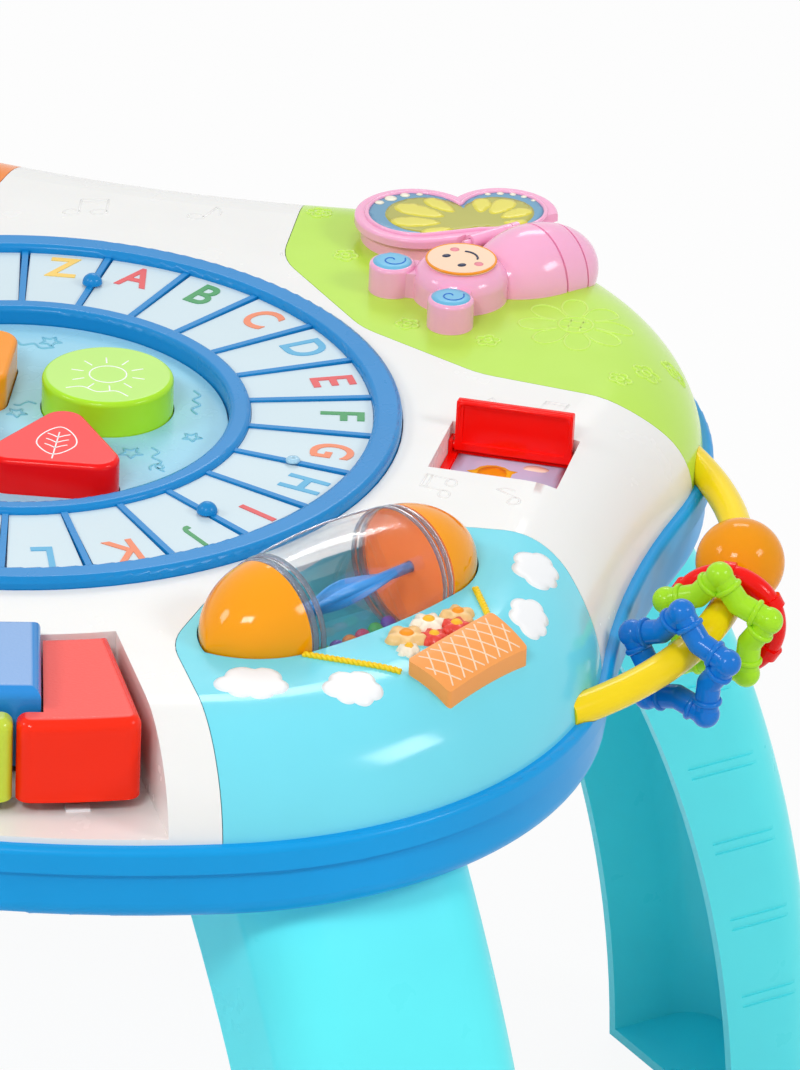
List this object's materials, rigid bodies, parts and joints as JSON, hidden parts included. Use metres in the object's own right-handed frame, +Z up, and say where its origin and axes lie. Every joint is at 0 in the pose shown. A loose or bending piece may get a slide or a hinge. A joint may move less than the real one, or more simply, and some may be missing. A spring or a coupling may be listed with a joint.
{
  "type": "toddler activity table",
  "caption": "Toddler activity table: domed play top with letter dial, push buttons, piano keys, flip door, airship drum, gears, steering wheel and a bead handle, on splayed legs.",
  "frame": {"origin": "on the floor, under the middle of the whole table with its bead handle", "axes": "+Z up, the piano faces -Y and the bead handle faces +X"},
  "size_m": [0.538, 0.5194, 0.379],
  "materials": {
    "shell_white": "gloss",
    "tray_blue": "gloss",
    "leg_teal": "gloss",
    "panel_green": "gloss",
    "panel_turquoise": "gloss",
    "panel_orange": "gloss",
    "panel_yellow": "gloss",
    "dial_blue": "gloss",
    "tile_pale": "satin",
    "centre_turquoise": "gloss",
    "lime": "gloss",
    "red": "gloss",
    "orange": "gloss",
    "purple": "gloss",
    "yellow": "gloss",
    "yellow_green": "gloss",
    "turquoise": "gloss",
    "blue": "gloss",
    "cap_amber": "gloss",
    "drum_clear": "clear",
    "balls_mixed": "gloss",
    "pink": "gloss",
    "peach": "satin",
    "bead_amber": "translucent",
    "board_green": "matte",
    "black": "matte",
    "cell_grey": "satin",
    "steel": "satin",
    "rubber_grey": "matte"
  },
  "bodies": {
    "table": {"top_shell": "shell_white", "base_tray": "tray_blue", "green_panel": "panel_green", "blue_panel": "panel_turquoise", "orange_panel": "panel_orange", "yellow_panel": "panel_yellow", "centre_panel": "centre_turquoise", "button_sheet": "rubber_grey", "key_pins": "steel", "key_pads": "rubber_grey", "door_frame": "red", "airship_front_cap": "cap_amber", "airship_rear_cap": "cap_amber", "basket_relief": "orange", "butterfly_body": "pink", "butterfly_face": "peach", "wing_base": "pink", "wing_pin": "steel", "handle_bar": "yellow", "back_right_leg": "leg_teal", "back_left_leg": "leg_teal", "front_left_leg": "leg_teal", "front_right_leg": "leg_teal", "main_board": "board_green", "speaker": "black", "speaker_cone": "black", "battery_cells": "cell_grey", "battery_contacts": "steel", "battery_cover": "tray_blue", "screws": "steel"},
    "dial": {"dial_frame": "dial_blue", "letter_tiles": "tile_pale", "dial_knobs": "dial_blue"},
    "airship_turning": {"airship_drum": "drum_clear", "airship_vane": "blue", "rattle_balls": "balls_mixed"},
    "round_button": {"round_button": "lime"},
    "triangle_button": {"triangle_button": "red"},
    "square_button": {"square_button": "orange"},
    "hexagon_button": {"hexagon_button": "purple"},
    "wide_key_1": {"wide_key_1": "turquoise"},
    "wide_key_2": {"wide_key_2": "orange"},
    "wide_key_3": {"wide_key_3": "yellow"},
    "wide_key_4": {"wide_key_4": "yellow_green"},
    "wide_key_5": {"wide_key_5": "red"},
    "raised_key_1": {"raised_key_1": "blue"},
    "raised_key_2": {"raised_key_2": "blue"},
    "raised_key_3": {"raised_key_3": "blue"},
    "flip_door": {"flip_door": "red"},
    "butterfly_wing": {"butterfly_wing": "pink"},
    "ball_bead": {"ball_bead": "bead_amber"},
    "ring_bead": {"ring_bead": "red"},
    "green_star_bead": {"green_star_bead": "lime"},
    "blue_star_bead": {"blue_star_bead": "blue"},
    "large_gear": {"large_gear": "yellow"},
    "middle_gear": {"middle_gear": "red"},
    "small_gear": {"small_gear": "blue"},
    "steering_wheel": {"steering_wheel": "red"},
    "horn_button": {"horn_button": "blue"},
    "power_switch": {"power_switch": "black"}
  },
  "joints": [
    {"name": "dial_turn", "type": "hinge", "parent": "table", "child": "dial", "pos_m": [-0.00934, 0, 0.353], "axis": [0, 0, 1], "continuous": true},
    {"name": "round_button_press", "type": "slide", "parent": "table", "child": "round_button", "axis": [0, 0, -1], "range_m": [0, 0.003], "stiffness_N_per_m": 600, "springref_m": -0.003},
    {"name": "triangle_button_press", "type": "slide", "parent": "table", "child": "triangle_button", "axis": [0, 0, -1], "range_m": [0, 0.003], "stiffness_N_per_m": 600, "springref_m": -0.003},
    {"name": "square_button_press", "type": "slide", "parent": "table", "child": "square_button", "axis": [0, 0, -1], "range_m": [0, 0.003], "stiffness_N_per_m": 600, "springref_m": -0.003},
    {"name": "hexagon_button_press", "type": "slide", "parent": "table", "child": "hexagon_button", "axis": [0, 0, -1], "range_m": [0, 0.003], "stiffness_N_per_m": 600, "springref_m": -0.003},
    {"name": "wide_key_1_press", "type": "hinge", "parent": "table", "child": "wide_key_1", "pos_m": [-0.07426, -0.16735, 0.331], "axis": [0.9323, -0.3616, 0], "range_deg": [0, 4], "stiffness_Nm_per_rad": 1, "springref_deg": -3.44},
    {"name": "wide_key_2_press", "type": "hinge", "parent": "table", "child": "wide_key_2", "pos_m": [-0.04236, -0.17644, 0.331], "axis": [0.9829, -0.184, 0], "range_deg": [0, 4], "stiffness_Nm_per_rad": 1, "springref_deg": -3.44},
    {"name": "wide_key_3_press", "type": "hinge", "parent": "table", "child": "wide_key_3", "pos_m": [-0.00934, -0.1795, 0.331], "axis": [1, 0, 0], "range_deg": [0, 4], "stiffness_Nm_per_rad": 1, "springref_deg": -3.44},
    {"name": "wide_key_4_press", "type": "hinge", "parent": "table", "child": "wide_key_4", "pos_m": [0.02368, -0.17644, 0.331], "axis": [0.9829, 0.184, 0], "range_deg": [0, 4], "stiffness_Nm_per_rad": 1, "springref_deg": -3.44},
    {"name": "wide_key_5_press", "type": "hinge", "parent": "table", "child": "wide_key_5", "pos_m": [0.05557, -0.16735, 0.331], "axis": [0.9323, 0.3616, 0], "range_deg": [0, 4], "stiffness_Nm_per_rad": 1, "springref_deg": -3.44},
    {"name": "raised_key_1_press", "type": "hinge", "parent": "table", "child": "raised_key_1", "pos_m": [-0.05852, -0.17263, 0.331], "axis": [0.9617, -0.274, 0], "range_deg": [0, 4], "stiffness_Nm_per_rad": 1, "springref_deg": -3.44},
    {"name": "raised_key_2_press", "type": "hinge", "parent": "table", "child": "raised_key_2", "pos_m": [-0.02592, -0.17873, 0.331], "axis": [0.9957, -0.0924, 0], "range_deg": [0, 4], "stiffness_Nm_per_rad": 1, "springref_deg": -3.44},
    {"name": "raised_key_3_press", "type": "hinge", "parent": "table", "child": "raised_key_3", "pos_m": [0.03983, -0.17263, 0.331], "axis": [0.9617, 0.274, 0], "range_deg": [0, 4], "stiffness_Nm_per_rad": 1, "springref_deg": -3.44},
    {"name": "door_flip", "type": "hinge", "parent": "table", "child": "flip_door", "pos_m": [0.16116, 0.0346, 0.34602], "axis": [1, 0, 0], "range_deg": [0, 90]},
    {"name": "airship_roll", "type": "hinge", "parent": "table", "child": "airship_turning", "pos_m": [0.13266, -0.103, 0.354], "axis": [0.5446, 0.8387, 0], "continuous": true},
    {"name": "wing_flap", "type": "hinge", "parent": "table", "child": "butterfly_wing", "pos_m": [0.12021, 0.17251, 0.3608], "axis": [0.6428, 0.766, 0], "range_deg": [0, 35]},
    {"name": "ball_bead_slide", "type": "hinge", "parent": "table", "child": "ball_bead", "pos_m": [0.08856, 0, 0.32], "axis": [0, 0, 1], "range_deg": [-1.2, 10]},
    {"name": "ring_bead_slide", "type": "hinge", "parent": "table", "child": "ring_bead", "pos_m": [0.08856, 0, 0.32], "axis": [0, 0, 1], "range_deg": [0, 2.4]},
    {"name": "green_star_bead_slide", "type": "hinge", "parent": "table", "child": "green_star_bead", "pos_m": [0.08856, 0, 0.32], "axis": [0, 0, 1], "range_deg": [-2.5, 0]},
    {"name": "blue_star_bead_slide", "type": "hinge", "parent": "table", "child": "blue_star_bead", "pos_m": [0.08856, 0, 0.32], "axis": [0, 0, 1], "range_deg": [-1.5, 4]},
    {"name": "large_gear_turn", "type": "hinge", "parent": "table", "child": "large_gear", "pos_m": [-0.13534, 0.122, 0.3595], "axis": [0, 0, 1], "continuous": true},
    {"name": "middle_gear_turn", "type": "hinge", "parent": "table", "child": "middle_gear", "pos_m": [-0.15434, 0.16901, 0.3595], "axis": [0, 0, 1], "continuous": true},
    {"name": "small_gear_turn", "type": "hinge", "parent": "table", "child": "small_gear", "pos_m": [-0.12079, 0.18122, 0.3595], "axis": [0, 0, 1], "continuous": true},
    {"name": "wheel_steer", "type": "hinge", "parent": "table", "child": "steering_wheel", "pos_m": [-0.14934, -0.13, 0.368], "axis": [0, 0, 1], "range_deg": [-120, 120]},
    {"name": "horn_press", "type": "slide", "parent": "steering_wheel", "child": "horn_button", "axis": [0, 0, -1], "range_m": [0, 0.002], "stiffness_N_per_m": 500, "springref_m": -0.002},
    {"name": "power_slide", "type": "slide", "parent": "table", "child": "power_switch", "axis": [1, 0, 0], "range_m": [-0.003, 0.003]}
  ],
  "couplings": [
    {"joint": "middle_gear_turn", "follows": "large_gear_turn", "ratio": -1.5},
    {"joint": "small_gear_turn", "follows": "large_gear_turn", "ratio": 2}
  ]
}
